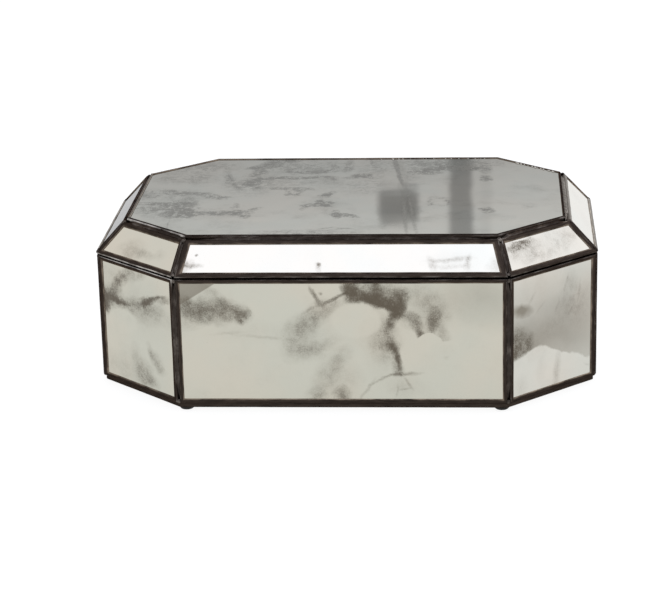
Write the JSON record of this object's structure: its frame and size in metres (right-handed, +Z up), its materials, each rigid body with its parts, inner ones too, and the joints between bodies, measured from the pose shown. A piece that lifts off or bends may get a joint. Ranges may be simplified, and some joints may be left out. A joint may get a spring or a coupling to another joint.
{
  "type": "trinket box",
  "caption": "Octagonal vanity trinket box of antiqued mirror panes in dark soldered metal came, with a bevelled lid hinged at the back, a velvet floor pad and bumper feet.",
  "frame": {"origin": "centre of the octagonal footprint, on the surface that the feet stand on", "axes": "+X along the box to its right side as seen from the front, +Y from the front to the hinged back, +Z up"},
  "size_m": [0.28, 0.1966, 0.0966],
  "materials": {
    "antique_mirror": "antiqued silvering with grey-brown clouds and veins, painted on its back",
    "dark_came": "blackened brown patina, rubbed lighter along its edges",
    "solder": "hand soldered, darkened with the came",
    "hinge_brass": "blackened with the came, bright where it turns",
    "pad_velvet": "short pile velvet",
    "bumper_rubber": "satin"
  },
  "bodies": {
    "base": {"base_pane_front": "antique_mirror", "base_pane_front_right": "antique_mirror", "base_pane_right": "antique_mirror", "base_pane_back_right": "antique_mirror", "base_pane_back": "antique_mirror", "base_pane_back_left": "antique_mirror", "base_pane_left": "antique_mirror", "base_pane_front_left": "antique_mirror", "base_came_front": "dark_came", "base_came_front_right": "dark_came", "base_came_right": "dark_came", "base_came_back_right": "dark_came", "base_came_back": "dark_came", "base_came_back_left": "dark_came", "base_came_left": "dark_came", "base_came_front_left": "dark_came", "floor_pane": "antique_mirror", "floor_came": "dark_came", "floor_pad": "pad_velvet", "base_solder": "solder", "foot_front_left": "bumper_rubber", "foot_front_right": "bumper_rubber", "foot_back_left": "bumper_rubber", "foot_back_right": "bumper_rubber", "hinge_leaf_base_left": "hinge_brass", "hinge_leaf_base_right": "hinge_brass", "hinge_pin_left": "hinge_brass", "hinge_pin_right": "hinge_brass"},
    "lid": {"lid_pane_front": "antique_mirror", "lid_pane_front_right": "antique_mirror", "lid_pane_right": "antique_mirror", "lid_pane_back_right": "antique_mirror", "lid_pane_back": "antique_mirror", "lid_pane_back_left": "antique_mirror", "lid_pane_left": "antique_mirror", "lid_pane_front_left": "antique_mirror", "lid_came_front": "dark_came", "lid_came_front_right": "dark_came", "lid_came_right": "dark_came", "lid_came_back_right": "dark_came", "lid_came_back": "dark_came", "lid_came_back_left": "dark_came", "lid_came_left": "dark_came", "lid_came_front_left": "dark_came", "top_pane": "antique_mirror", "top_came": "dark_came", "lid_solder": "solder", "hinge_leaf_lid_left": "hinge_brass", "hinge_leaf_lid_right": "hinge_brass"}
  },
  "joints": [
    {"name": "lid_hinge", "type": "hinge", "parent": "base", "child": "lid", "pos_m": [0, 0.0983, 0.0778], "axis": [-1, 0, 0], "range_deg": [0, 105]}
  ]
}
